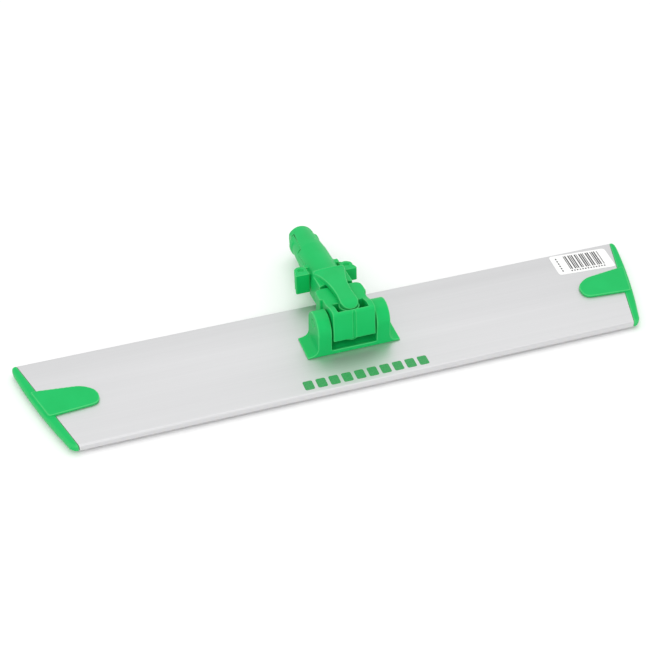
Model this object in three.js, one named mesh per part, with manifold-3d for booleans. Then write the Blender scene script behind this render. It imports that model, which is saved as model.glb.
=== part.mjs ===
// A flat mop frame for hook-and-loop pads: an extruded aluminium plate with moulded end caps and,
// in its middle, a universal joint whose handle connector lies back behind the plate.
//
// Millimetres. +X runs along the plate, +Y to its long rear edge, +Z up. The origin is the centre of
// the pad side, on the tips of the hooks. The connector has a frame of its own, with its origin at
// the joint's centre, Y along the handle and Z across it, away from the plate.

import * as THREE from 'three';
import { mergeVertices } from 'three/addons/utils/BufferGeometryUtils.js';
import Module from 'manifold-3d';

const wasm = await Module();
wasm.setup();

// ---------------------------------------------------------------- driving dimensions

const FRAME_LENGTH = 444; // over both end caps
const END_CAP_REACH = 3.4; // an end cap's rounded rear corner beyond the plate's
const FRONT_INSET = 26; // how far each end of the plate comes in from its rear corner to its front one
const PLATE_DEPTH = 87.8;
const PLATE_THICKNESS = 5;
const HOOKS_PROUD = 1.5; // the hook strips below the plate's lips
const TILT_AXIS_HEIGHT = 21; // above the plate
const LAY_ANGLE = THREE.MathUtils.degToRad(5.8); // how far the handle drops below level when laid back
const CONNECTOR_LENGTH = 111.5; // from the joint's centre to the spigot's end
const SPIGOT_RADIUS = 11.4;
const RUNNING_GAP = 0.1; // radial, round every pin and screw
const GAP = 0.3; // between faces that meet

const PLATE_BOTTOM = HOOKS_PROUD;
const PLATE_TOP = PLATE_BOTTOM + PLATE_THICKNESS;
const REAR_HALF = FRAME_LENGTH / 2 - END_CAP_REACH;
const CHANNEL_WIDTH = 23;
const CHANNEL_DEPTH = 1.3;
const CHANNEL_PITCH = 28;
const CHANNEL_CEILING = PLATE_BOTTOM + CHANNEL_DEPTH;
const LIP_RADIUS = 1.4;

const BASE = { halfWidth: 32.9, halfDepth: 11.2, floor: 2.8, frontLip: 3.5, lipDepth: 1.6 };
const PILLAR = { inner: 15.8, outer: 25.5, shoulder: 17 };
const YOKE = {
  halfWidth: 14.7, front: -10.8, wall: 2, pocket: 10.8, groove: 1,
  halfHeight: 11.4, headHeight: 8.8, headStart: 4.5, headHalfWidth: 16.5, rear: 25.5,
};
const FORK = {
  inner: 9.2, outer: 13.5, brow: -1, browTop: 12.9, bossDrop: 2.3, rim: 0.4,
  endRadius: 6.2, webRadius: 29.6, ridge: 42.5,
  upperFlare: { neck: 5.6, start: 24, finish: 34 },
  lowerFlare: { neck: 5, start: 27, finish: 37 },
};
const BODY = { halfWidth: 11.8, shoulder: 9, keel: 11.5, trunkEnd: 44, keelEnd: 52 };
const LATCH = {
  pivotX: 16.7, pivotY: 55.2, lugRadius: 4.6, padReach: 6.7,
  armHalfHeight: 3.8, headHalfHeight: 7.2, headStart: 82, slot: 1.3, end: 104,
};
const ARM_FLOOR = 6.5; // the channels for a lever's arm and head, from the spigot's axis
const HEAD_FLOOR = 4.6;
const TONGUE_RADIUS = 3.2; // the body's tongue round a lever's pin
const SPRING = { y: 86, radius: 1.9, wire: 0.35, turns: 4, from: 2.1, to: 6.8 };
const SEAT = { radius: 5.7, floor: 5 }; // where the fork's discs turn in the yoke
const TILT_PIN_RADIUS = 2.8;
const SWIVEL_PIN_RADIUS = 2.5;
const SWIVEL_PIN_TOP = 10.6; // blind, under the upper fork plate's skin
const LATCH_PIN_RADIUS = 1.5;

// ---------------------------------------------------------------- materials

function plastic(color) {
  return new THREE.MeshStandardMaterial({ color, roughness: 0.45, metalness: 0 });
}

const green = plastic('#2fc86c');
const aluminium = new THREE.MeshStandardMaterial({ color: '#d9dadb', roughness: 0.4, metalness: 0.9 });
const steel = new THREE.MeshStandardMaterial({ color: '#b4b7ba', roughness: 0.3, metalness: 1 });
const hooks = plastic('#2b2d30');
const paper = new THREE.MeshStandardMaterial({ color: '#f6f6f4', roughness: 0.7, metalness: 0 });

// ---------------------------------------------------------------- shaping helpers

function solid(geometry) {
  const bare = geometry.index ? geometry.clone() : geometry;
  bare.deleteAttribute('normal');
  bare.deleteAttribute('uv');
  const merged = mergeVertices(bare, 1e-4);
  const mesh = new wasm.Mesh({
    numProp: 3,
    vertProperties: new Float32Array(merged.attributes.position.array),
    triVerts: new Uint32Array(merged.index.array),
  });
  return new wasm.Manifold(mesh);
}

function geometryOf(manifold) {
  const mesh = manifold.getMesh();
  const geometry = new THREE.BufferGeometry();
  geometry.setAttribute('position', new THREE.BufferAttribute(mesh.vertProperties, 3));
  geometry.setIndex(new THREE.BufferAttribute(mesh.triVerts, 1));
  return geometry;
}

function cut(body, ...tools) {
  return tools.reduce((left, tool) => left.subtract(tool), body);
}

function join(body, ...others) {
  return others.reduce((all, other) => all.add(other), body);
}

// From near to far on one side of the middle, lowest first.
function span(side, near, far) {
  return side < 0 ? [-far, -near] : [near, far];
}

function block([x0, x1], [y0, y1], [z0, z1]) {
  const geometry = new THREE.BoxGeometry(x1 - x0, y1 - y0, z1 - z0);
  geometry.translate((x0 + x1) / 2, (y0 + y1) / 2, (z0 + z1) / 2);
  return solid(geometry);
}

// A shape drawn in two of the axes, pushed along the third from one place to another.
function prism(axis, shape, [from, to], curveSegments = 8) {
  const settings = { depth: to - from, bevelEnabled: false, curveSegments };
  const geometry = new THREE.ExtrudeGeometry(shape, settings);
  const x = new THREE.Vector3(1, 0, 0);
  const y = new THREE.Vector3(0, 1, 0);
  const z = new THREE.Vector3(0, 0, 1);
  const basis = new THREE.Matrix4();
  if (axis === 'x') {
    basis.makeBasis(y, z, x).setPosition(from, 0, 0);
  } else if (axis === 'y') {
    basis.makeBasis(x, z, y.clone().negate()).setPosition(0, to, 0);
  } else {
    basis.setPosition(0, 0, from);
  }
  return solid(geometry.applyMatrix4(basis));
}

// Turns a half profile of [radius, height] points, from the axis back to the axis, about an axis.
function turned(axis, profile, segments = 32) {
  const geometry = new THREE.LatheGeometry(profile.map(([r, h]) => new THREE.Vector2(r, h)), segments);
  if (axis === 'x') {
    geometry.rotateZ(-Math.PI / 2);
  } else if (axis === 'z') {
    geometry.rotateX(Math.PI / 2);
  }
  return geometry;
}

function rod(axis, radius, [from, to], centre = [0, 0, 0], segments = 32) {
  const profile = [[0, from], [radius, from], [radius, to], [0, to]];
  return solid(turned(axis, profile, segments).translate(...centre));
}

// A closed outline through [x, y, trim] corners; trim is how far before a corner its curve starts.
function outline(corners) {
  const shape = new THREE.Shape();
  corners.forEach(([x, y, trim = 0], index) => {
    const corner = new THREE.Vector2(x, y);
    const [before, after] = [corners.at(index - 1), corners[(index + 1) % corners.length]];
    const arriving = new THREE.Vector2(before[0], before[1]).sub(corner).setLength(trim).add(corner);
    const leaving = new THREE.Vector2(after[0], after[1]).sub(corner).setLength(trim).add(corner);
    if (index === 0) {
      shape.moveTo(arriving.x, arriving.y);
    } else {
      shape.lineTo(arriving.x, arriving.y);
    }
    if (trim > 0) {
      shape.quadraticCurveTo(x, y, leaving.x, leaving.y);
    }
  });
  shape.closePath();
  return shape;
}

function corners(x, y) {
  return [[-x, -y], [x, -y], [x, y], [-x, y]];
}

function rectangle(halfX, halfY, trim = 0) {
  return outline(corners(halfX, halfY).map((corner) => [...corner, trim]));
}

function piece(name, shape, material) {
  const geometry = shape.isBufferGeometry ? shape : geometryOf(shape);
  const mesh = new THREE.Mesh(geometry, material);
  mesh.name = name;
  return mesh;
}

// ---------------------------------------------------------------- plate

// Where the plate ends along X, at a place across its depth.
function plateEnd(y) {
  return REAR_HALF - FRONT_INSET * (0.5 - y / PLATE_DEPTH);
}

const CHANNEL_CENTRES = [-CHANNEL_PITCH, 0, CHANNEL_PITCH];
const BASE_SCREWS = { x: 20.6, y: 7, radius: 1.75, headRadius: 3.6, headHeight: 2, top: PLATE_TOP + 13 };
const CAP_SCREWS = {
  inset: 12, y: 6.5, radius: 1.4, headRadius: 2.9, headHeight: 1.5, top: PLATE_TOP + 1.3,
};
const CAP_PEG_RADIUS = 3;

function plateSection() {
  const half = PLATE_DEPTH / 2;
  const quarter = Math.PI / 2;
  const shape = new THREE.Shape();
  shape.moveTo(LIP_RADIUS - half, PLATE_BOTTOM);
  for (const centre of CHANNEL_CENTRES) {
    shape.lineTo(centre - CHANNEL_WIDTH / 2, PLATE_BOTTOM);
    shape.lineTo(centre - CHANNEL_WIDTH / 2, CHANNEL_CEILING);
    shape.lineTo(centre + CHANNEL_WIDTH / 2, CHANNEL_CEILING);
    shape.lineTo(centre + CHANNEL_WIDTH / 2, PLATE_BOTTOM);
  }
  shape.lineTo(half - LIP_RADIUS, PLATE_BOTTOM);
  shape.absarc(half - LIP_RADIUS, PLATE_BOTTOM + LIP_RADIUS, LIP_RADIUS, -quarter, 0);
  shape.absarc(half - LIP_RADIUS, PLATE_TOP - LIP_RADIUS, LIP_RADIUS, 0, quarter);
  shape.absarc(LIP_RADIUS - half, PLATE_TOP - LIP_RADIUS, LIP_RADIUS, quarter, 2 * quarter);
  shape.absarc(LIP_RADIUS - half, PLATE_BOTTOM + LIP_RADIUS, LIP_RADIUS, 2 * quarter, 3 * quarter);
  return shape;
}

function trapezoid(rear, front, halfDepth) {
  return outline([[-front, -halfDepth], [front, -halfDepth], [rear, halfDepth], [-rear, halfDepth]]);
}

// A countersunk screw that stands head down, or the hole for it where the gap is above zero.
function countersunk({ radius, headRadius, headHeight, top }, gap = 0) {
  const head = CHANNEL_CEILING;
  return [
    [0, head - gap],
    [headRadius + gap, head - gap],
    [headRadius + gap, head],
    [radius + gap, head + headHeight],
    [radius + gap, top + gap],
    [0, top + gap],
  ];
}

function capScrewPlaces(side) {
  return [-CAP_SCREWS.y, CAP_SCREWS.y].map((y) => [side * (plateEnd(0) - CAP_SCREWS.inset), y]);
}

function deckPlate() {
  const halfDepth = PLATE_DEPTH / 2;
  const bar = prism('x', plateSection(), [-REAR_HALF, REAR_HALF], 4);
  const plan = trapezoid(REAR_HALF, REAR_HALF - FRONT_INSET, halfDepth);
  const plate = bar.intersect(prism('z', plan, [0, PLATE_TOP + 1]));
  const screwHole = (x, y) => solid(turned('z', countersunk(BASE_SCREWS, RUNNING_GAP)).translate(x, y, 0));
  const pegHole = (x, y) => rod('z', CAP_PEG_RADIUS + RUNNING_GAP, [0, PLATE_TOP + 1], [x, y, 0]);
  const screwHoles = corners(BASE_SCREWS.x, BASE_SCREWS.y).map((place) => screwHole(...place));
  const pegHoles = [-1, 1].flatMap((side) => capScrewPlaces(side).map((place) => pegHole(...place)));
  return cut(plate, ...screwHoles, ...pegHoles);
}

function hookStrip(centre) {
  const halfWidth = CHANNEL_WIDTH / 2 - RUNNING_GAP;
  const setback = 3;
  const ends = [centre - halfWidth, centre + halfWidth].map((y) => [plateEnd(y) - setback, y]);
  const [[x0, y0], [x1, y1]] = ends;
  const plan = outline([[-x0, y0, 1], [x0, y0, 1], [x1, y1, 1], [-x1, y1, 1]]);
  return prism('z', plan, [0, CHANNEL_CEILING - GAP], 2);
}

// ---------------------------------------------------------------- end caps

const CAP = {
  overhang: 4.4, bow: 2.2, chamfer: 3.6, edgeTop: 0.4, edgeRadius: 1.7,
  tabHeight: 2, tabLength: 33.5, tabRear: 13.5, tabFront: -12.9,
};

// The rim's plan, from well inside the plate's end out to its bowed edge, with a chamfer at each corner.
function rimPlan(side) {
  const half = PLATE_DEPTH / 2;
  const { overhang, bow, chamfer } = CAP;
  const at = (y, out) => [side * (plateEnd(y) + out), y];
  const shape = new THREE.Shape();
  shape.moveTo(side * (plateEnd(-half) - 5), half);
  shape.lineTo(...at(half, overhang - chamfer));
  shape.quadraticCurveTo(...at(half, overhang - 1), ...at(half - chamfer, overhang));
  shape.lineTo(...at(half - 2 * chamfer, overhang + 0.6));
  shape.quadraticCurveTo(...at(0, overhang + 2 * bow - 0.4), ...at(2 * chamfer - half, overhang + 1));
  shape.lineTo(...at(chamfer - half, overhang + 0.8));
  shape.quadraticCurveTo(...at(1 - half, overhang), ...at(-half, overhang - chamfer + 1.2));
  shape.lineTo(side * (plateEnd(-half) - 5), -half);
  shape.closePath();
  return shape;
}

// An upright slab with this plan whose edges are all rounded, above and below.
function roundedSlab(plan, [from, to], radius) {
  const slab = new THREE.ExtrudeGeometry(plan, {
    depth: to - from - 2 * radius,
    curveSegments: 6,
    bevelThickness: radius,
    bevelSize: radius,
    bevelOffset: -radius,
    bevelSegments: 4,
  });
  return solid(slab.translate(0, 0, from + radius));
}

function tabPlan(side) {
  const { tabRear, tabFront, tabLength } = CAP;
  const along = (inset) => side * (plateEnd(0) - inset);
  const root = (y) => side * (plateEnd(y) + CAP.overhang);
  return outline([
    [root(tabRear), tabRear, 2],
    [along(tabLength - 9), 9.4, 5],
    [along(tabLength), 2, 5],
    [along(tabLength), -10, 6],
    [root(tabFront), tabFront, 2],
  ]);
}

function endCap(side) {
  const half = PLATE_DEPTH / 2;
  const rearEnd = plateEnd(half) + GAP;
  const plateRoom = (top) => prism('z', trapezoid(rearEnd, rearEnd - FRONT_INSET, half), [0, top]);
  const rim = cut(
    roundedSlab(rimPlan(side), [PLATE_BOTTOM, PLATE_TOP + CAP.edgeTop], CAP.edgeRadius),
    plateRoom(PLATE_TOP + 1),
  );
  const tab = cut(
    prism('z', tabPlan(side), [PLATE_TOP - 1.5, PLATE_TOP + CAP.tabHeight], 6),
    plateRoom(PLATE_TOP + 0.05),
  );
  const pegs = capScrewPlaces(side).map(([x, y]) => (
    rod('z', CAP_PEG_RADIUS, [CHANNEL_CEILING + 1.6, PLATE_TOP + 1], [x, y, 0])
  ));
  const bores = capScrewPlaces(side).map(([x, y]) => (
    solid(turned('z', countersunk(CAP_SCREWS, RUNNING_GAP)).translate(x, y, 0))
  ));
  return cut(join(rim, tab, ...pegs), ...bores);
}

// ---------------------------------------------------------------- joint base

// The saddle seen from the front: a floor between two pillars that flare out where they meet the plate.
function saddleFront(top) {
  const { halfWidth, floor } = BASE;
  const { inner, outer } = PILLAR;
  const shape = new THREE.Shape();
  shape.moveTo(-halfWidth, 0);
  shape.lineTo(halfWidth, 0);
  shape.lineTo(halfWidth, 1.2);
  shape.bezierCurveTo(halfWidth - 4.4, 1.6, outer + 0.5, 2.4, outer, 6.5);
  shape.lineTo(outer, top);
  shape.lineTo(inner, top);
  shape.lineTo(inner, floor);
  shape.lineTo(-inner, floor);
  shape.lineTo(-inner, top);
  shape.lineTo(-outer, top);
  shape.lineTo(-outer, 6.5);
  shape.bezierCurveTo(-outer - 0.5, 2.4, 4.4 - halfWidth, 1.6, -halfWidth, 1.2);
  shape.closePath();
  return shape;
}

// How high the lip behind the yoke stands, so that the lower fork plate lands on it.
function restHeight() {
  const drop = (FORK.outer + BASE.halfDepth * Math.sin(LAY_ANGLE)) / Math.cos(LAY_ANGLE);
  return TILT_AXIS_HEIGHT - drop - 0.2;
}

function jointBase() {
  const axis = TILT_AXIS_HEIGHT;
  const { halfWidth, halfDepth, lipDepth, frontLip } = BASE;
  const { inner, outer, shoulder } = PILLAR;
  const flank = new THREE.Shape();
  flank.moveTo(-halfDepth, 0);
  flank.lineTo(halfDepth, 0);
  flank.absarc(0, shoulder, halfDepth, 0, Math.PI);
  flank.closePath();
  const gate = [-inner - 1, inner + 1];
  const lipFace = halfDepth - lipDepth;
  const saddle = prism('y', saddleFront(shoulder + halfDepth), [-halfDepth, halfDepth], 6)
    .intersect(prism('x', flank, [-halfWidth - 1, halfWidth + 1], 12))
    .add(block(gate, [-halfDepth, -lipFace], [1, frontLip]))
    .add(block(gate, [lipFace, halfDepth], [1, restHeight()]));
  const pinBores = [-1, 1].map((side) => (
    rod('x', TILT_PIN_RADIUS + RUNNING_GAP, span(side, inner - 1, outer + 1), [0, 0, axis])
  ));
  const screwBores = corners(BASE_SCREWS.x, BASE_SCREWS.y).map(([x, y]) => (
    rod('z', BASE_SCREWS.radius + RUNNING_GAP, [-1, BASE_SCREWS.top - PLATE_TOP + GAP], [x, y, 0])
  ));
  return geometryOf(cut(saddle, ...pinBores, ...screwBores)).translate(0, 0, PLATE_TOP + 0.05);
}

// Half of a round pin's section, chamfered at both ends.
function pinProfile(radius, [from, to], chamfer) {
  return [
    [0, from],
    [radius - chamfer, from],
    [radius, from + chamfer],
    [radius, to - chamfer],
    [radius - chamfer, to],
    [0, to],
  ];
}

function tiltPin(side) {
  const [near, far] = [11.2, PILLAR.outer - 0.2];
  const pin = turned('x', pinProfile(TILT_PIN_RADIUS, [near, far], 0.6));
  if (side < 0) {
    pin.rotateZ(Math.PI);
  }
  return pin.translate(0, 0, PLATE_TOP + TILT_AXIS_HEIGHT);
}

// ---------------------------------------------------------------- yoke, in the laid-back frame

function yoke() {
  const { halfWidth, front, wall, pocket, groove } = YOKE;
  const { halfHeight, headHeight, headStart, headHalfWidth, rear } = YOKE;
  const flank = outline([
    [front, -halfHeight, 1.2], [front, halfHeight, 3],
    [-3, halfHeight, 2], [5, headHeight, 2], [12, headHeight],
    [12, -headHeight], [5, -headHeight, 2], [-3, -halfHeight, 2],
  ]);
  const cheeks = prism('x', flank, [-halfWidth, halfWidth], 4);
  const hollow = block([-pocket, pocket], [front + wall, 20], [-20, 20]);
  const head = prism('z', outline([
    [-halfWidth, headStart], [halfWidth, headStart], [halfWidth, 12], [headHalfWidth, 13, 0.5],
    [headHalfWidth, rear, 5], [-headHalfWidth, rear, 5], [-headHalfWidth, 13, 0.5], [-halfWidth, 12],
  ]), [-headHeight, headHeight], 8);
  const boss = rod('z', 7, [-headHeight, headHeight], [0, 0, 0], 40);
  const seat = (up) => rod('z', SEAT.radius, span(up, SEAT.floor, headHeight + 1), [0, 0, 0], 40);
  const vee = outline([
    [-1.1, front - 1], [1.1, front - 1], [1.1, front],
    [0.4, front + groove], [-0.4, front + groove], [-1.1, front],
  ]);
  return cut(
    join(cut(cheeks, hollow), head, boss),
    seat(1),
    seat(-1),
    rod('z', SWIVEL_PIN_RADIUS + RUNNING_GAP, [-headHeight, headHeight]),
    rod('x', TILT_PIN_RADIUS + RUNNING_GAP, [-halfWidth - 1, 0.5 - pocket]),
    rod('x', TILT_PIN_RADIUS + RUNNING_GAP, [pocket - 0.5, halfWidth + 1]),
    prism('z', vee, [-halfHeight - 1, halfHeight + 1]),
  );
}

// ---------------------------------------------------------------- handle connector

// One fork plate: an eye round the swivel pin, a neck, and a flare out to the trunk's width. The lower
// one is slimmer, because it swings between the pillars.
function forkOutline(side) {
  const { endRadius, ridge } = FORK;
  const { halfWidth, trunkEnd } = BODY;
  const { neck, start, finish } = side > 0 ? FORK.upperFlare : FORK.lowerFlare;
  const shape = new THREE.Shape();
  shape.absarc(0, 0, endRadius, Math.PI, 2 * Math.PI);
  shape.lineTo(neck, 9);
  shape.bezierCurveTo(neck, start, 8.5, finish, halfWidth, ridge);
  shape.lineTo(halfWidth, trunkEnd + 2);
  shape.lineTo(-halfWidth, trunkEnd + 2);
  shape.lineTo(-halfWidth, ridge);
  shape.bezierCurveTo(-8.5, finish, -neck, start, -neck, 9);
  shape.closePath();
  return shape;
}

// The trunk's front is an arc about the swivel pin, clear of the yoke's head and of the pillars.
function trunkOutline() {
  const { halfWidth, trunkEnd } = BODY;
  const corner = Math.acos(halfWidth / FORK.webRadius);
  const shape = new THREE.Shape();
  shape.absarc(0, 0, FORK.webRadius, Math.PI - corner, corner, true);
  shape.lineTo(halfWidth, trunkEnd);
  shape.lineTo(-halfWidth, trunkEnd);
  shape.closePath();
  return shape;
}

// The fork plates seen along the handle: nearly flat above between round shoulders, arched below.
function archedSection(rise = 0) {
  const { halfWidth, keel } = BODY;
  const shoulder = BODY.shoulder + rise;
  const crown = FORK.outer + rise;
  const flat = halfWidth - 4;
  const shape = new THREE.Shape();
  shape.moveTo(halfWidth, -keel);
  shape.lineTo(halfWidth, shoulder);
  shape.quadraticCurveTo(halfWidth, crown - 1, flat, crown - 0.5);
  shape.quadraticCurveTo(0, crown + 0.5, -flat, crown - 0.5);
  shape.quadraticCurveTo(-halfWidth, crown - 1, -halfWidth, shoulder);
  shape.lineTo(-halfWidth, -keel);
  shape.quadraticCurveTo(0, keel - 2 * FORK.outer, halfWidth, -keel);
  shape.closePath();
  return shape;
}

// The same plates seen from the side. The upper one has a sloping tip, and rises a little to its ridge.
function ridgedFlank() {
  const { inner, outer, ridge, endRadius, brow, browTop } = FORK;
  const end = BODY.trunkEnd + 1;
  const tip = -endRadius - 0.2;
  return outline([
    [tip, -outer], [ridge, -outer, 1.5], [end, -SPIGOT_RADIUS],
    [end, SPIGOT_RADIUS], [ridge, outer, 1.5], [brow, browTop, 3], [tip, inner + 0.3],
  ]);
}

// A low raised rim along the upper plate's ridge.
function ridgeRim() {
  const { ridge, rim, inner } = FORK;
  const { halfWidth } = BODY;
  return prism('y', archedSection(rim), [ridge - 1.1, ridge + 0.3], 8)
    .intersect(block([GAP - halfWidth, halfWidth - GAP], [ridge - 2, ridge + 2], [inner, 20]));
}

function forkPlates() {
  const { inner, outer, endRadius, bossDrop } = FORK;
  const { halfWidth, trunkEnd } = BODY;
  const envelope = prism('y', archedSection(), [-9, trunkEnd + 1], 8)
    .intersect(prism('x', ridgedFlank(), [-halfWidth - 1, halfWidth + 1], 4));
  const plates = [-1, 1].map((side) => prism('z', forkOutline(side), span(side, inner, outer), 10));
  const disc = (side) => (
    rod('z', SEAT.radius - GAP, span(side, SEAT.floor + GAP, inner + 0.5), [0, 0, 0], 40)
  );
  const boss = rod('z', endRadius - 0.2, [-outer - bossDrop, -inner - 1], [0, 0, 0], 40);
  return join(join(...plates).intersect(envelope), ridgeRim(), disc(1), disc(-1), boss);
}

// The round part that the pole slips over, hollowed at its tip and flattened beside it.
function spigot() {
  const r = SPIGOT_RADIUS;
  const tip = 9.7;
  const end = CONNECTOR_LENGTH;
  const profile = [
    [0, FORK.ridge], [r, FORK.ridge], [r, LATCH.headStart],
    [tip, end - 1.8], [tip - 0.6, end - 0.5], [tip - 2, end], [0, end],
  ];
  const recess = rod('y', 5.2, [end - 5.5, end + 1]);
  const flats = [-1, 1].map((side) => block(span(side, 8.4, 12), [LATCH.end + 0.8, end + 1], [-12, 12]));
  return cut(solid(turned('y', profile, 48)), recess, ...flats);
}

// What a lever needs to swing in: a channel for its arm, a wider one for its head, the spring's pocket.
function latchRoom(side) {
  const { armHalfHeight, headHalfHeight, pivotY, headStart, end } = LATCH;
  const arm = armHalfHeight + 0.4;
  const head = headHalfHeight + 0.3;
  return join(
    block(span(side, ARM_FLOOR, 14), [pivotY + 3, headStart + 1], [-arm, arm]),
    block(span(side, HEAD_FLOOR, 14), [headStart - 0.5, end + 0.8], [-head, head]),
    rod('x', SPRING.radius + 0.6, span(side, SPRING.from - 0.1, HEAD_FLOOR + 1), [0, SPRING.y, 0], 24),
  );
}

// The tongue that carries a lever's pin, and a small lug above and below the lever's arm.
function latchMount(side) {
  const { pivotX, pivotY } = LATCH;
  const half = tongueHalfHeight(side);
  const lug = (up) => block(span(side, 8.5, 12.9), [pivotY + 3.4, pivotY + 7.6], span(up, 4.4, 6.4));
  return join(
    block(span(side, 8, pivotX), [pivotY - TONGUE_RADIUS, pivotY + TONGUE_RADIUS], [-half, half]),
    rod('z', TONGUE_RADIUS, [-half, half], [side * pivotX, pivotY, 0], 24),
    lug(1),
    lug(-1),
  );
}

function connectorBody() {
  const { halfWidth, keel, trunkEnd, keelEnd } = BODY;
  const trunk = prism('z', trunkOutline(), [-keel, FORK.inner + 0.2], 10);
  const keelBlock = block([-halfWidth, halfWidth], [trunkEnd - 1, keelEnd], [-keel, 0]);
  const tube = cut(spigot(), latchRoom(-1), latchRoom(1));
  const pinBore = (side) => (
    rod('z', LATCH_PIN_RADIUS + RUNNING_GAP, [-6, 6], [side * LATCH.pivotX, LATCH.pivotY, 0], 20)
  );
  return cut(
    join(forkPlates(), trunk, keelBlock, tube, latchMount(-1), latchMount(1)),
    rod('z', SWIVEL_PIN_RADIUS + RUNNING_GAP, [-FORK.outer - FORK.bossDrop - 1, SWIVEL_PIN_TOP + 0.3]),
    pinBore(-1),
    pinBore(1),
  );
}

function swivelPin() {
  const low = -FORK.outer - FORK.bossDrop + 0.8;
  return turned('z', pinProfile(SWIVEL_PIN_RADIUS, [low, SWIVEL_PIN_TOP], 0.5));
}

// ---------------------------------------------------------------- latch levers

// The left lever is the thumb's, and its pad is taller than the right one's.
function padHalfHeight(side) {
  return side < 0 ? 7.5 : 5;
}

function tongueHalfHeight(side) {
  return padHalfHeight(side) - 2.8;
}

// The wing outside the body, which a finger pulls toward the pole: a flat front and a round lug.
function latchPad(side) {
  const { pivotX, pivotY, lugRadius, padReach } = LATCH;
  const half = padHalfHeight(side);
  const front = pivotY - padReach;
  const wing = prism('z', outline([
    [side * 12.1, front, 0.6], [side * 22.5, front, 1], [side * 22.3, pivotY - 4.4, 0.8],
    [side * (pivotX + 3.6), pivotY], [side * (pivotX - 2.2), pivotY], [side * 12.5, pivotY - 2.4, 0.5],
  ]), [-half, half], 4);
  return join(wing, rod('z', lugRadius, [-half, half], [side * pivotX, pivotY, 0], 32));
}

// The arm in its channel, ending in a head whose nub catches in the pole's wall.
function latchArm(side) {
  const { pivotY, armHalfHeight, headHalfHeight, headStart, slot, end } = LATCH;
  const flush = SPIGOT_RADIUS - 0.2;
  const cone = solid(turned('y', [
    [0, pivotY], [flush, pivotY], [flush, headStart], [flush - 1.6, end + 4], [0, end + 4],
  ], 48));
  const armPlan = outline([
    [side * 8.2, pivotY + 5.6, 1], [side * 9.6, pivotY + 4.1, 1], [side * 17, pivotY + 4.1],
    [side * 18, pivotY + 5.1, 0.3], [side * 14, pivotY + 6.8, 1], [side * 11.6, pivotY + 8.5, 1],
    [side * 11.6, headStart + slot + 1], [side * 8.2, headStart + slot + 1],
  ]);
  const crossing = block(span(side, 8, 19), [pivotY + 4, pivotY + 9], [-armHalfHeight, armHalfHeight]);
  const arm = prism('z', armPlan, [-armHalfHeight, armHalfHeight], 4)
    .intersect(cone.add(crossing));
  const head = block(span(side, 6.9, 12), [headStart + slot, end], [-headHalfHeight, headHalfHeight])
    .intersect(cone);
  const proud = SPIGOT_RADIUS - 0.3;
  const bulge = [
    [0, end - 9], [flush - 1.1, end - 9], [proud, end - 6],
    [proud, end - 2.5], [flush - 1.5, end], [0, end],
  ];
  const nub = block(span(side, 6.9, 12), [end - 9, end], [2 - headHalfHeight, headHalfHeight - 2])
    .intersect(solid(turned('y', bulge, 48)));
  return join(arm, head, nub);
}

function latchLever(side) {
  const { pivotX, pivotY } = LATCH;
  const half = padHalfHeight(side);
  const room = tongueHalfHeight(side) + GAP;
  const reach = TONGUE_RADIUS + 0.4;
  const dimple = (up) => rod('z', 2.4, span(up, half - 0.8, 10), [side * pivotX, pivotY, 0], 20);
  return cut(
    join(latchPad(side), latchArm(side)),
    block(span(side, 10, pivotX), [pivotY - reach, pivotY + reach], [-room, room]),
    rod('z', reach, [-room, room], [side * pivotX, pivotY, 0], 24),
    rod('z', LATCH_PIN_RADIUS + RUNNING_GAP, [-10, 10], [side * pivotX, pivotY, 0], 20),
    dimple(1),
    dimple(-1),
  );
}

function latchPin(side) {
  const half = padHalfHeight(side) - 1.1;
  return turned('z', pinProfile(LATCH_PIN_RADIUS, [-half, half], 0.3), 20)
    .translate(side * LATCH.pivotX, LATCH.pivotY, 0);
}

class Helix extends THREE.Curve {
  constructor(side) {
    super();
    this.side = side;
  }

  getPoint(t, target = new THREE.Vector3()) {
    const angle = 2 * Math.PI * SPRING.turns * t;
    const along = SPRING.from + SPRING.wire + t * (SPRING.to - SPRING.from - 2 * SPRING.wire);
    return target.set(
      this.side * along,
      SPRING.y + SPRING.radius * Math.cos(angle),
      SPRING.radius * Math.sin(angle),
    );
  }
}

function latchSpring(side) {
  const wire = new THREE.Shape();
  wire.absarc(0, 0, SPRING.wire, 0, 2 * Math.PI);
  return new THREE.ExtrudeGeometry(wire, {
    steps: 12 * SPRING.turns,
    curveSegments: 3,
    extrudePath: new Helix(side),
  });
}

// ---------------------------------------------------------------- label

const LABEL = {
  x: 189.4, y: 29.6, halfLength: 21.8, halfWidth: 11, turn: THREE.MathUtils.degToRad(-3.6), thickness: 0.2,
};

function productLabel() {
  const sticker = prism('z', rectangle(LABEL.halfLength, LABEL.halfWidth, 2.5), [0, LABEL.thickness], 4);
  return geometryOf(sticker).rotateZ(LABEL.turn).translate(LABEL.x, LABEL.y, PLATE_TOP + 0.02);
}

// ---------------------------------------------------------------- the assembly

const SIDES = [['left', -1], ['right', 1]];
const mop = new THREE.Group();

mop.add(piece('deck_plate', deckPlate(), aluminium));
['front', 'centre', 'rear'].forEach((place, index) => {
  mop.add(piece(`${place}_hook_strip`, hookStrip(CHANNEL_CENTRES[index]), hooks));
});
mop.add(piece('joint_base', jointBase(), green));
mop.add(piece('product_label', productLabel(), paper));

const screw = (size) => turned('z', countersunk(size), 24);
corners(BASE_SCREWS.x, BASE_SCREWS.y).forEach(([x, y], index) => {
  const mesh = piece(`base_screw_${index + 1}`, screw(BASE_SCREWS), steel);
  mesh.position.set(x, y, 0);
  mop.add(mesh);
});

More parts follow.
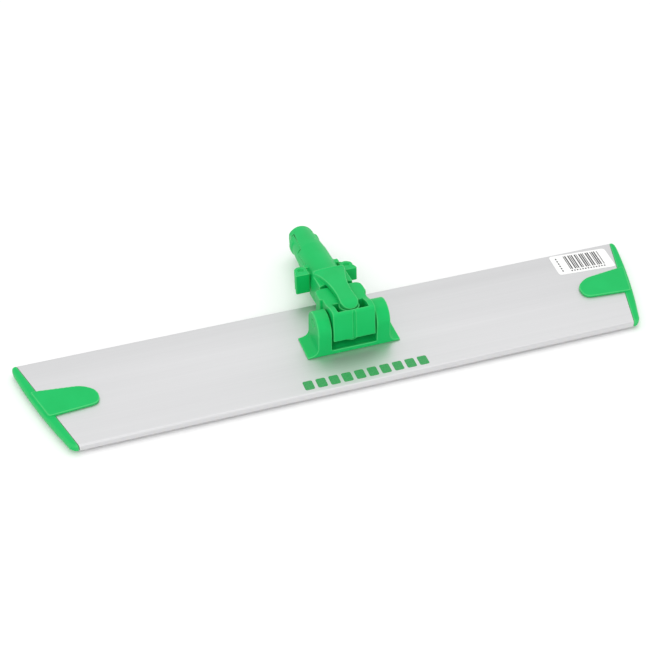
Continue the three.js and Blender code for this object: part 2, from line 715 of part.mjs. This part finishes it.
for (const [name, side] of SIDES) {
  mop.add(piece(`${name}_end_cap`, endCap(side), green));
  mop.add(piece(`${name}_tilt_pin`, tiltPin(side), green));
  capScrewPlaces(side).forEach(([x, y], index) => {
    const mesh = piece(`${name}_cap_screw_${index + 1}`, screw(CAP_SCREWS), steel);
    mesh.position.set(x, y, 0);
    mop.add(mesh);
  });
}

const handle = new THREE.Group();
handle.position.set(0, 0, PLATE_TOP + TILT_AXIS_HEIGHT);
handle.rotation.x = -LAY_ANGLE;
handle.add(piece('yoke', yoke(), green));
handle.add(piece('connector_body', connectorBody(), green));
handle.add(piece('swivel_pin', swivelPin(), steel));
for (const [name, side] of SIDES) {
  handle.add(piece(`${name}_latch_lever`, latchLever(side), green));
  handle.add(piece(`${name}_latch_pin`, latchPin(side), green));
  handle.add(piece(`${name}_latch_spring`, latchSpring(side), steel));
}
mop.add(handle);

export default mop;
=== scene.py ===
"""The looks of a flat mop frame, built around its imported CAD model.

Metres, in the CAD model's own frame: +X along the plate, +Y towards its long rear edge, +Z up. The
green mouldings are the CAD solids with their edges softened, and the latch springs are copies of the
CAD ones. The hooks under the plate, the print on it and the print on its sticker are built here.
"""

import math

import bmesh
import bpy
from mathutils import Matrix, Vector


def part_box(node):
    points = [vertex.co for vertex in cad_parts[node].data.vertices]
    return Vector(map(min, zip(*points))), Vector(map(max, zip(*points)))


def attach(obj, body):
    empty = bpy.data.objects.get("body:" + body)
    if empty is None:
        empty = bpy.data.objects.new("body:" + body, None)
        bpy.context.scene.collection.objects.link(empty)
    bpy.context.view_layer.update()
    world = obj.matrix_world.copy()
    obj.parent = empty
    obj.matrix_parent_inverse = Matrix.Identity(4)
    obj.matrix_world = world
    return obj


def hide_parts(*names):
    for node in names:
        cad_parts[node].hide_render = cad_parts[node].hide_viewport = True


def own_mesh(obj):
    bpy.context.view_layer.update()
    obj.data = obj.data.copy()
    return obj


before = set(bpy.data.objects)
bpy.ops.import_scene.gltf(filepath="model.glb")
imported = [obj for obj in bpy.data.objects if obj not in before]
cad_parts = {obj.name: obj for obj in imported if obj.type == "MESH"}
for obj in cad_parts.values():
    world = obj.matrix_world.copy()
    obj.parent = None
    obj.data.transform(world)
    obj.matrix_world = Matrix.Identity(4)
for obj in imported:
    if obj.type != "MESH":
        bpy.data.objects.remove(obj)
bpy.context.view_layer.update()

MM = 0.001
PLATE_LOW, PLATE_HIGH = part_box("deck_plate")
PLATE_TOP = PLATE_HIGH.z
WELD_DISTANCE = 0.001 * MM

# ---------------------------------------------------------------- materials


def srgb(red, green, blue):
    """A colour given as 0 to 255 values, as the linear colour that shaders work in."""
    def linear(value):
        part = value / 255
        return part / 12.92 if part <= 0.04045 else ((part + 0.055) / 1.055) ** 2.4
    return (linear(red), linear(green), linear(blue), 1.0)


class Material:
    """A node material in the making, whose patterns stay with the piece as it moves."""

    def __init__(self, name, roughness, metallic=0.0):
        self.made = bpy.data.materials.new(name)
        self.made.use_nodes = True
        self.tree = self.made.node_tree
        self.shader = self.tree.nodes["Principled BSDF"]
        self.shader.inputs["Roughness"].default_value = roughness
        self.shader.inputs["Metallic"].default_value = metallic
        self.place = self.tree.nodes.new("ShaderNodeTexCoord").outputs["Object"]

    def link(self, output, node, socket):
        self.tree.links.new(output, node.inputs[socket])

    def stretched(self, scale):
        """The piece's own coordinates, times a scale for each axis."""
        mapping = self.tree.nodes.new("ShaderNodeMapping")
        mapping.inputs["Scale"].default_value = scale
        self.link(self.place, mapping, "Vector")
        return mapping.outputs["Vector"]

    def noise(self, scale, detail=3.0):
        """Noise with a number of cells per metre along each axis."""
        texture = self.tree.nodes.new("ShaderNodeTexNoise")
        texture.inputs["Scale"].default_value = 1.0
        texture.inputs["Detail"].default_value = detail
        self.link(self.stretched(scale), texture, "Vector")
        return texture.outputs["Fac"]

    def ramp(self, value, *stops):
        """A colour looked up by value, through stops of (place, colour)."""
        ramp = self.tree.nodes.new("ShaderNodeValToRGB")
        elements = ramp.color_ramp.elements
        while len(elements) < len(stops):
            elements.new(0.5)
        for element, (position, colour) in zip(elements, stops):
            element.position = position
            element.color = colour
        self.link(value, ramp, "Fac")
        return ramp.outputs["Color"]

    def between(self, value, low, high):
        """A value from 0 to 1, spread over low to high."""
        spread = self.tree.nodes.new("ShaderNodeMapRange")
        spread.inputs["To Min"].default_value = low
        spread.inputs["To Max"].default_value = high
        self.link(value, spread, "Value")
        return spread.outputs["Result"]

    def blend(self, kind, amount, first, second):
        """Two colours mixed in one of Blender's ways."""
        mix = self.tree.nodes.new("ShaderNodeMix")
        mix.data_type = "RGBA"
        mix.blend_type = kind
        mix.inputs[0].default_value = amount
        self.tree.links.new(first, mix.inputs[6])
        self.tree.links.new(second, mix.inputs[7])
        return mix.outputs[2]

    def bump(self, height, distance, strength):
        bump = self.tree.nodes.new("ShaderNodeBump")
        bump.inputs["Distance"].default_value = distance
        bump.inputs["Strength"].default_value = strength
        self.link(height, bump, "Height")
        self.link(bump.outputs["Normal"], self.shader, "Normal")


def green_plastic():
    """Satin moulded plastic: a clear green with a painted highlight that makes its edges paler,
    finely grained.
    """
    look = Material("green_plastic", roughness=0.42)
    look.shader.inputs["IOR"].default_value = 1.49
    look.shader.inputs["Specular IOR Level"].default_value = 0.2
    drift = look.noise((70, 70, 70), detail=2.0)
    body = look.ramp(drift, (0.3, srgb(8, 186, 93)), (0.7, srgb(14, 191, 98)))
    # Painted highlight: the sharper an edge, the paler its colour, standing in for light catching
    # the rounded edges.
    painted_edge_highlight_mask = look.tree.nodes.new("ShaderNodeNewGeometry").outputs["Pointiness"]
    edges = look.ramp(painted_edge_highlight_mask, (0.506, (0, 0, 0, 1)), (0.545, (0.08, 0.12, 0.08, 1)))
    look.link(look.blend("ADD", 1.0, body, edges), look.shader, "Base Color")
    grain = look.noise((2600, 2600, 2600))
    look.link(look.between(grain, 0.36, 0.48), look.shader, "Roughness")
    look.bump(grain, 0.02 * MM, 0.35)
    return look.made


def brushed_aluminium():
    """Satin aluminium with the faint lengthwise lines of an extrusion."""
    look = Material("brushed_aluminium", roughness=0.5, metallic=0.85)
    look.shader.inputs["Anisotropic"].default_value = 0.2
    lines = look.noise((6, 900, 900), detail=4.0)
    bands = look.noise((1.5, 60, 60), detail=2.0)
    fine = look.ramp(lines, (0.3, srgb(215, 215, 216)), (0.7, srgb(218, 218, 219)))
    broad = look.ramp(bands, (0.35, srgb(251, 251, 251)), (0.65, srgb(255, 255, 255)))
    look.link(look.blend("MULTIPLY", 1.0, fine, broad), look.shader, "Base Color")
    look.link(look.between(lines, 0.46, 0.54), look.shader, "Roughness")
    look.bump(lines, 0.01 * MM, 0.15)
    return look.made


def zinc_steel():
    """Zinc-plated steel, with the faint spangle of its plating."""
    look = Material("zinc_steel", roughness=0.3, metallic=1.0)
    spangle = look.noise((900, 900, 900))
    colour = look.ramp(spangle, (0.35, srgb(168, 172, 176)), (0.65, srgb(196, 198, 201)))
    look.link(colour, look.shader, "Base Color")
    look.link(look.between(spangle, 0.24, 0.38), look.shader, "Roughness")
    look.bump(spangle, 0.02 * MM, 0.3)
    return look.made


def hook_plastic():
    """The dark plastic of hook tape."""
    look = Material("hook_plastic", roughness=0.5)
    weave = look.noise((1500, 1500, 1500))
    colour = look.ramp(weave, (0.3, srgb(30, 31, 34)), (0.7, srgb(48, 50, 54)))
    look.link(colour, look.shader, "Base Color")
    look.link(look.between(weave, 0.42, 0.62), look.shader, "Roughness")
    look.bump(weave, 0.05 * MM, 0.5)
    return look.made


def sticker_paper():
    """White label paper."""
    look = Material("sticker_paper", roughness=0.55)
    fibre = look.noise((1800, 1800, 1800), detail=4.0)
    colour = look.ramp(fibre, (0.3, srgb(246, 246, 245)), (0.7, srgb(252, 252, 251)))
    look.link(colour, look.shader, "Base Color")
    look.link(look.between(fibre, 0.5, 0.65), look.shader, "Roughness")
    look.bump(fibre, 0.01 * MM, 0.3)
    return look.made


def ink(name, colour):
    """Printed ink that is a little thinner here and there."""
    look = Material(name, roughness=0.5)
    spread = look.noise((1200, 1200, 1200), detail=4.0)
    paler = tuple(part + (1 - part) * 0.06 for part in colour[:3]) + (1.0,)
    look.link(look.ramp(spread, (0.35, colour), (0.7, paler)), look.shader, "Base Color")
    look.link(look.between(spread, 0.42, 0.58), look.shader, "Roughness")
    return look.made


GREEN = green_plastic()
ALUMINIUM = brushed_aluminium()
STEEL = zinc_steel()
HOOKS = hook_plastic()
PAPER = sticker_paper()
GREEN_INK = ink("green_ink", srgb(14, 152, 70))
GREY_INK = ink("grey_ink", srgb(42, 42, 45))

# ---------------------------------------------------------------- pieces from CAD solids


def add_object(name, mesh, material, body):
    """Puts a finished mesh in the scene as a piece that rides on a CAD body."""
    mesh.materials.clear()
    mesh.materials.append(material)
    made = bpy.data.objects.new(name, mesh)
    bpy.context.scene.collection.objects.link(made)
    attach(made, body)
    return made


def welded(node):
    """A copy of a CAD node's mesh as one closed skin, open for editing."""
    work = bmesh.new()
    work.from_mesh(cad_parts[node].data)
    bmesh.ops.remove_doubles(work, verts=work.verts, dist=WELD_DISTANCE)
    return work


def finished(work, name):
    """The edited skin, closed into a named mesh."""
    mesh = bpy.data.meshes.new(name)
    work.to_mesh(mesh)
    work.free()
    return mesh


def with_modifiers(mesh, modifiers):
    """The mesh after a list of (kind, settings) modifiers."""
    stand = bpy.data.objects.new("stand", mesh)
    bpy.context.scene.collection.objects.link(stand)
    for index, (kind, settings) in enumerate(modifiers):
        modifier = stand.modifiers.new(f"step_{index}", kind)
        for key, value in settings.items():
            setattr(modifier, key, value)
    depsgraph = bpy.context.evaluated_depsgraph_get()
    result = bpy.data.meshes.new_from_object(stand.evaluated_get(depsgraph))
    bpy.data.objects.remove(stand)
    return result


def moulding(node, body, voxel, rounds):
    """A CAD solid with every edge rounded, as a moulded piece has them."""
    mesh = with_modifiers(finished(welded(node), node + "_skin"), [
        ("REMESH", {"mode": "VOXEL", "voxel_size": voxel, "adaptivity": 0.0}),
        ("SMOOTH", {"factor": 0.5, "iterations": rounds}),
    ])
    for face in mesh.polygons:
        face.use_smooth = True
    made = add_object(node + "_moulding", mesh, GREEN, body)
    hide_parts(node)
    return made


def squeezed_spring(side):
    """A latch spring, copied from the CAD one to ride on the connector."""
    node = f"{side}_latch_spring"
    mesh = finished(welded(node), node + "_skin")
    made = add_object(node + "_coil", mesh, STEEL, "connector")
    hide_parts(node)
    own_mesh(made)


def dress_node(node, material):
    """Gives a CAD node that stays in view its finished material."""
    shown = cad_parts[node]
    if not shown.material_slots:
        shown.data.materials.append(material)
    for slot in shown.material_slots:
        slot.material = material


moulding("joint_base", "plate", voxel=0.4 * MM, rounds=11)
moulding("yoke", "yoke", voxel=0.3 * MM, rounds=10)
moulding("connector_body", "connector", voxel=0.35 * MM, rounds=6)
for side in ("left", "right"):
    moulding(f"{side}_latch_lever", f"{side}_latch", voxel=0.28 * MM, rounds=9)
    moulding(f"{side}_end_cap", "plate", voxel=0.42 * MM, rounds=5)
    moulding(f"{side}_tilt_pin", "plate", voxel=0.2 * MM, rounds=3)
    moulding(f"{side}_latch_pin", "connector", voxel=0.12 * MM, rounds=3)
    squeezed_spring(side)

dress_node("deck_plate", ALUMINIUM)
dress_node("product_label", PAPER)
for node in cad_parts:
    if "screw" in node or node == "swivel_pin":
        dress_node(node, STEEL)

# ---------------------------------------------------------------- hooks under the plate

TAPE_THICKNESS = 1.5 * MM
HOOK_PITCH_X = 2.8 * MM
HOOK_PITCH_Y = 2.2 * MM
HOOK_WIDTH = 0.7 * MM
HOOK_WIRE = 0.35 * MM
HOOK_MARGIN = 1.5 * MM  # bare tape along a strip's edges
FRONT_EDGE_DEPTH = 3 * MM  # how far back the plate's rounded front edge goes
HOOK_BEND = (  # along the plate and down from the tape, where a hook's centre line goes
    (0.0, -0.1 * MM),
    (0.0, 0.45 * MM),
    (0.22 * MM, 0.8 * MM),
    (0.6 * MM, 0.8 * MM),
    (0.85 * MM, 0.5 * MM),
)


def add_hook(work, x, y, tape_face, way):
    """One hook: a flat strip that leaves the tape and curls over."""
    rings = []
    for index, (along, down) in enumerate(HOOK_BEND):
        before = Vector(HOOK_BEND[max(index - 1, 0)])
        after = Vector(HOOK_BEND[min(index + 1, len(HOOK_BEND) - 1)])
        across = (after - before).normalized().orthogonal() * HOOK_WIRE / 2
        ring = []
        for sign, edge in ((-1, -1), (1, -1), (1, 1), (-1, 1)):
            ring.append(work.verts.new((
                x + way * (along + sign * across.x),
                y + edge * HOOK_WIDTH / 2,
                tape_face - down - sign * across.y,
            )))
        rings.append(ring)
    for near, far in zip(rings, rings[1:]):
        for index in range(4):
            after = (index + 1) % 4
            work.faces.new((near[index], near[after], far[after], far[index]))
    work.faces.new(rings[0])
    work.faces.new(list(reversed(rings[-1])))


def front_end():
    """How far the plate's front corner reaches along X."""
    corners = [vert.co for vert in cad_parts["deck_plate"].data.vertices]
    front = [corner.x for corner in corners if corner.y < PLATE_LOW.y + FRONT_EDGE_DEPTH]
    return max(front)


def hook_strip(node):
    """Hook tape in one of the plate's channels."""
    low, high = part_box(node)
    work = welded(node)
    tape_face = high.z - TAPE_THICKNESS
    for vert in work.verts:
        vert.co.z = max(vert.co.z, tape_face)
    narrowing = (PLATE_HIGH.x - front_end()) / (PLATE_HIGH.y - PLATE_LOW.y)
    rows = int((high.y - low.y - 2 * HOOK_MARGIN) / HOOK_PITCH_Y) + 1
    start = (low.y + high.y - (rows - 1) * HOOK_PITCH_Y) / 2
    for row in range(rows):
        y = start + row * HOOK_PITCH_Y
        end = high.x - (high.y - y) * narrowing - HOOK_MARGIN
        columns = int(2 * end / HOOK_PITCH_X)
        way = 1 if row % 2 else -1
        for column in range(columns):
            x = (column - (columns - 1) / 2) * HOOK_PITCH_X
            add_hook(work, x, y, tape_face, way)
    bmesh.ops.recalc_face_normals(work, faces=work.faces)
    made = add_object(node + "_hooks", finished(work, node + "_hooks"), HOOKS, "plate")
    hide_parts(node)


for place in ("front", "centre", "rear"):
    hook_strip(f"{place}_hook_strip")

# ---------------------------------------------------------------- printing

PRINT_THICKNESS = 0.03 * MM
PRINT_LIFT = 0.01 * MM  # keeps ink clear of the metal it lies on


def add_patch(work, centre, size, height, turn=0.0, round_by=0.0):
    """A thin rounded rectangle of ink, standing on a face at the given height."""
    half_x, half_y = size[0] / 2, size[1] / 2
    rounding = min(round_by, half_x, half_y)
    steps = 4 if rounding else 0
    points = []
    for quarter, (sign_x, sign_y) in enumerate(((1, 1), (-1, 1), (-1, -1), (1, -1))):
        for step in range(steps + 1):
            angle = math.pi / 2 * (quarter + (step / steps if steps else 0.5))
            points.append((
                sign_x * (half_x - rounding) + rounding * math.cos(angle),
                sign_y * (half_y - rounding) + rounding * math.sin(angle),
            ))
    rings = []
    for level in (height, height + PRINT_THICKNESS):
        ring = []
        for x, y in points:
            place_x = centre[0] + x * math.cos(turn) - y * math.sin(turn)
            place_y = centre[1] + x * math.sin(turn) + y * math.cos(turn)
            ring.append(work.verts.new((place_x, place_y, level)))
        rings.append(ring)
    low, high = rings
    for index in range(len(points)):
        after = (index + 1) % len(points)
        work.faces.new((low[index], low[after], high[after], high[index]))
    work.faces.new(high)
    work.faces.new(list(reversed(low)))


def printed(name, material, patches):
    """A piece made of ink patches, each given as add_patch's arguments."""
    work = bmesh.new()
    for patch in patches:
        add_patch(work, **patch)
    add_object(name, finished(work, name), material, "plate")


def plate_print():
    """A plain dashed stripe in front of the joint."""
    count = 10
    pitch = 8.9 * MM
    middle = (0.0, -35.3 * MM)
    return [
        {
            "centre": (middle[0] + (index - (count - 1) / 2) * pitch, middle[1]),
            "size": (6.6 * MM, 8.6 * MM),
            "height": PLATE_TOP + PRINT_LIFT,
            "round_by": 1.2 * MM,
        }
        for index in range(count)
    ]


LABEL_TURN = math.radians(-3.6)


def on_label(x, y):
    """A place on the sticker, from its middle along its own edges, in the row frame."""
    low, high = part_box("product_label")
    centre = (low + high) / 2
    return (
        centre.x + x * math.cos(LABEL_TURN) - y * math.sin(LABEL_TURN),
        centre.y + x * math.sin(LABEL_TURN) + y * math.cos(LABEL_TURN),
    )


def label_patch(x, y, width, depth):
    """A patch on the sticker, with its place and size in millimetres."""
    return {
        "centre": on_label(x * MM, y * MM),
        "size": (width * MM, depth * MM),
        "height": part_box("product_label")[1].z,
        "turn": LABEL_TURN,
    }


def label_bars(first, last):
    """Upright bars of a few widths, from one place along the sticker to another."""
    module = 0.4
    middle, depth = 1.4, 15.5
    patches = []
    x = first
    index = 0
    while x < last:
        width = module * (1.5 + index * index % 3)
        space = module * (3.5 if index % 5 in (1, 4) else 1.3)
        patches.append(label_patch(x + width / 2, middle, width, depth))
        x += width + space
        index += 1
    return patches


def dash_row(count, start, step, size):
    """Equal dashes in a row, where a label would carry small print."""
    return [
        label_patch(start[0] + step[0] * index, start[1] + step[1] * index, *size)
        for index in range(count)
    ]


def label_print():
    """Generic bars, with a row of plain dashes below them and one beside them."""
    first, last = -11.5, 15.5
    below = dash_row(13, start=(first + 0.5, -8.2), step=(2.1, 0), size=(1.1, 1.3))
    beside = dash_row(6, start=(-17.6, -7), step=(0, 2.8), size=(1.0, 1.7))
    return label_bars(first, last) + below + beside


printed("plate_stripe", GREEN_INK, plate_print())
printed("label_bars", GREY_INK, label_print())

# ---------------------------------------------------------------- studio


def studio_floor():
    """A wide pale floor just under the hooks."""
    look = Material("floor_paper", roughness=0.8)
    tone = look.noise((3, 3, 3), detail=2.0)
    colour = look.ramp(tone, (0.3, srgb(252, 252, 252)), (0.7, srgb(254, 254, 254)))
    look.link(colour, look.shader, "Base Color")
    work = bmesh.new()
    bmesh.ops.create_grid(work, x_segments=8, y_segments=8, size=6.0)
    bmesh.ops.translate(work, verts=work.verts, vec=(0, 0, -0.1 * MM))
    mesh = finished(work, "floor")
    mesh.materials.append(look.made)
    floor = bpy.data.objects.new("floor", mesh)
    bpy.context.scene.collection.objects.link(floor)


def aimed(made, place, target):
    """Puts an object at a place, looking at a target."""
    made.location = place
    made.rotation_euler = (Vector(target) - Vector(place)).to_track_quat("-Z", "Y").to_euler()


def soft_box(name, place, size, power):
    """A rectangular lamp that faces the middle of the plate."""
    light = bpy.data.lights.new(name, "AREA")
    light.shape = "RECTANGLE"
    light.size, light.size_y = size
    light.energy = power
    made = bpy.data.objects.new(name, light)
    bpy.context.scene.collection.objects.link(made)
    aimed(made, place, (0, 0, 0.02))


def white_room(strength):
    """Even white light from all around."""
    world = bpy.data.worlds.new("room")
    world.use_nodes = True
    background = world.node_tree.nodes["Background"]
    background.inputs["Color"].default_value = (1.0, 1.0, 1.0, 1.0)
    background.inputs["Strength"].default_value = strength
    bpy.context.scene.world = world


def camera():
    """A long lens on the front left of the plate, above it."""
    yaw = math.radians(18.29)
    rise = math.radians(39.76)
    distance = 952.6 * MM
    target = Vector((-10.59 * MM, 19.95 * MM, PLATE_TOP))
    back = Vector((-math.sin(yaw) * math.cos(rise), -math.cos(yaw) * math.cos(rise), math.sin(rise)))
    data = bpy.data.cameras.new("camera")
    data.sensor_width = 36.0
    data.lens = 76.76
    data.clip_start = 0.05
    data.clip_end = 50.0
    made = bpy.data.objects.new("camera", data)
    bpy.context.scene.collection.objects.link(made)
    aimed(made, target + distance * back, target)
    bpy.context.scene.camera = made


studio_floor()
white_room(0.85)
soft_box("key", (-0.7, -1.4, 1.2), (1.2, 1.2), 8.5)
soft_box("top", (0.3, 0.6, 2.0), (1.6, 1.6), 8.5)
camera()
bpy.context.scene.view_settings.view_transform = "Standard"
